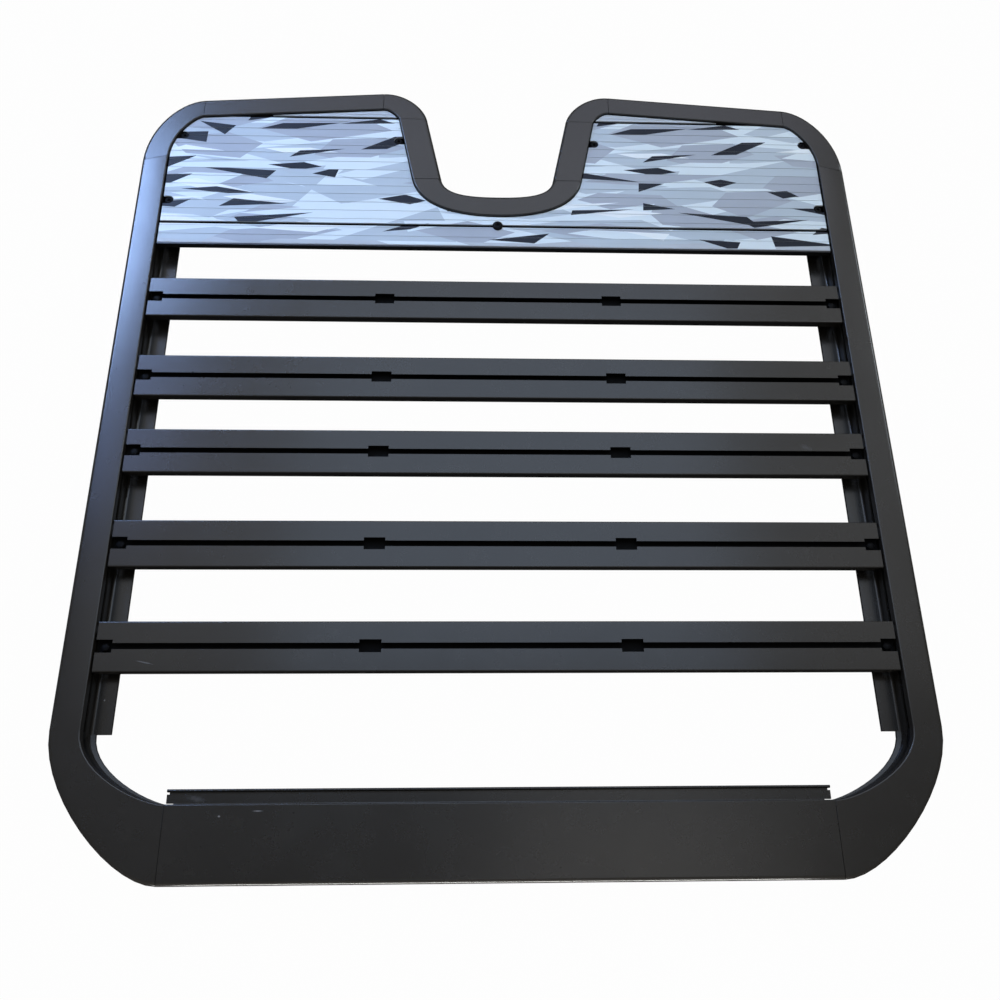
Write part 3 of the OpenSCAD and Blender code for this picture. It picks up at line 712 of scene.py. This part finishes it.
def dress_bolts():
    for side in ("left", "right"):
        bm = bmesh.new()
        for c, foot, top in bolts_of(f"slat_bolts_{side}"):
            rod(bm, c, SHANK_R, foot, top - SLAT_HEAD_H)
            hex_head(bm, c, top - SLAT_HEAD_H, SLAT_HEAD_R, SLAT_HEAD_H)
        finish_piece(bm, f"slat_bolts_{side}_detailed", [f"slat_bolts_{side}"], BOLT)
        bm = bmesh.new()
        for c, foot, top in bolts_of(f"deck_bolts_{side}"):
            rod(bm, c, SHANK_R, foot, SLEEVE_Z)
            rod(bm, c, SLEEVE_R, SLEEVE_Z, top - DECK_HEAD_H)
            button_head(bm, c, top - DECK_HEAD_H, DECK_HEAD_R, DECK_HEAD_H)
        finish_piece(bm, f"deck_bolts_{side}_detailed", [f"deck_bolts_{side}"], BOLT)
    bm = bmesh.new()
    c, foot, top = bolts_of("deck_middle_bolt")[0]
    rod(bm, c, SHANK_R, foot, DECK_TOP)
    button_head(bm, c, DECK_TOP, MIDDLE_HEAD_R, top - DECK_TOP, socket=3 * MM)
    finish_piece(bm, "deck_middle_bolt_detailed", ["deck_middle_bolt"], BOLT)


# Stage, lights and camera

FLOOR_HALF = 12
# Share of the floor that glows white for the camera, so that its shadows stay faint
FLOOR_GLOW = 0.985


def stage():
    mesh = bpy.data.meshes.new("floor")
    corners = [(x * FLOOR_HALF, y * FLOOR_HALF, 0) for x, y in ((-1, -1), (1, -1), (1, 1), (-1, 1))]
    mesh.from_pydata(corners, [], [(0, 1, 2, 3)])
    floor = bpy.data.objects.new("floor", mesh)
    bpy.context.scene.collection.objects.link(floor)
    material = bpy.data.materials.new("floor_white")
    material.use_nodes = True
    tree = material.node_tree
    tree.nodes.clear()
    out = tree.nodes.new("ShaderNodeOutputMaterial")
    # Dull grey card for reflections and bounced light
    card = tree.nodes.new("ShaderNodeBsdfDiffuse")
    grain = tree.nodes.new("ShaderNodeTexNoise")
    grain.inputs["Scale"].default_value = 60
    tone = tree.nodes.new("ShaderNodeMapRange")
    tone.inputs["To Min"].default_value = 0.075
    tone.inputs["To Max"].default_value = 0.085
    tree.links.new(grain.outputs[0], tone.inputs["Value"])
    tree.links.new(tone.outputs[0], card.inputs[0])
    glow = tree.nodes.new("ShaderNodeEmission")
    glow.inputs[0].default_value = (1, 1, 1, 1)
    glow.inputs[1].default_value = 1.0
    path = tree.nodes.new("ShaderNodeLightPath")
    share = tree.nodes.new("ShaderNodeMath")
    share.operation = "MULTIPLY"
    share.inputs[1].default_value = FLOOR_GLOW
    tree.links.new(path.outputs["Is Camera Ray"], share.inputs[0])
    mix = tree.nodes.new("ShaderNodeMixShader")
    tree.links.new(share.outputs[0], mix.inputs[0])
    tree.links.new(card.outputs[0], mix.inputs[1])
    tree.links.new(glow.outputs[0], mix.inputs[2])
    tree.links.new(mix.outputs[0], out.inputs[0])
    mesh.materials.append(material)
    # Just below the rack's feet, so that no two faces lie in one plane
    floor.location.z = -0.2 * MM


WORLD_COLOR, WORLD_STRENGTH = (1.0, 0.965, 0.92, 1), 0.28
# Name, place, aim, size, colour, glow and spread in degrees of each area light
LIGHTS = (
    ("ceiling", (0.40, 1.50, 2.70), (0.40, 1.50, 0), (4.4, 2.8), (0.97, 0.985, 1.0), 0.45, 180),
    ("sky", (0.15, 1.10, 2.68), (0.15, 1.10, 0), (2.0, 2.1), (0.48, 0.68, 1.0), 1.05, 180),
    ("near_spot", (0.64, -0.70, 2.60), (0.64, -0.70, 0), (1.0, 0.8), (1.0, 0.98, 0.95), 0.80, 180),
    ("window_left", (-1.90, 2.22, 2.10), (-0.62, 0.42, 0.04), (0.98, 1.06), (0.36, 0.55, 1.0), 1.65, 44),
    ("fill_far", (0.2, 3.1, 2.6), (0, 0.3, 0), (3.2, 1.2), (0.75, 0.80, 1.0), 1.0, 180),
    ("front_strip", (0.0, -0.95, 0.026), (0.0, -0.60, 0.026), (1.0, 0.044), (1.0, 0.99, 0.96), 26.0, 180),
    ("window_near", (-1.56, 1.18, 2.10), (-1.56, 1.18, 0), (0.62, 1.00), (0.32, 0.47, 1.0), 2.3, 180),
    ("fill_right", (2.30, 1.50, 1.50), (0.38, 0.48, 0.04), (0.8, 0.8), (0.84, 0.93, 1.0), 0.42, 44),
)


def lights():
    world = bpy.data.worlds.new("studio")
    bpy.context.scene.world = world
    world.use_nodes = True
    tree = world.node_tree
    tree.nodes.clear()
    out = tree.nodes.new("ShaderNodeOutputWorld")
    soft, white = tree.nodes.new("ShaderNodeBackground"), tree.nodes.new("ShaderNodeBackground")
    soft.inputs[0].default_value = WORLD_COLOR
    soft.inputs[1].default_value = WORLD_STRENGTH
    white.inputs[0].default_value = (1, 1, 1, 1)
    white.inputs[1].default_value = 1.0
    path = tree.nodes.new("ShaderNodeLightPath")
    mix = tree.nodes.new("ShaderNodeMixShader")
    tree.links.new(path.outputs["Is Camera Ray"], mix.inputs[0])
    tree.links.new(soft.outputs[0], mix.inputs[1])
    tree.links.new(white.outputs[0], mix.inputs[2])
    tree.links.new(mix.outputs[0], out.inputs[0])

    for name, at, to, size, color, glow, spread in LIGHTS:
        data = bpy.data.lights.new(name, "AREA")
        data.shape = "RECTANGLE"
        data.size, data.size_y = size
        data.color = color
        # The power grows with the size, so that glow alone sets how bright the light looks
        data.energy = glow * 4 * size[0] * size[1]
        data.spread = math.radians(spread)
        obj = bpy.data.objects.new(name, data)
        obj.location = at
        obj.rotation_euler = (Vector(to) - Vector(at)).to_track_quat("-Z", "Y").to_euler()
        bpy.context.scene.collection.objects.link(obj)


LENS, SENSOR = 34.285, 36
CAMERA_AT = (-0.05292, -0.67792, 1.39952)
CAMERA_TURN = (21.9692, -1.9721, -0.5529)


def camera():
    data = bpy.data.cameras.new("photo_view")
    data.lens = LENS
    data.sensor_width = SENSOR
    obj = bpy.data.objects.new("photo_view", data)
    obj.location = CAMERA_AT
    obj.rotation_euler = Euler([math.radians(a) for a in CAMERA_TURN], "XYZ")
    bpy.context.scene.collection.objects.link(obj)
    bpy.context.scene.camera = obj
    bpy.context.scene.view_settings.view_transform = "Standard"


camera()
dress_frame()
tongues()
dress_deck()
dress_bolts()
stage()
lights()
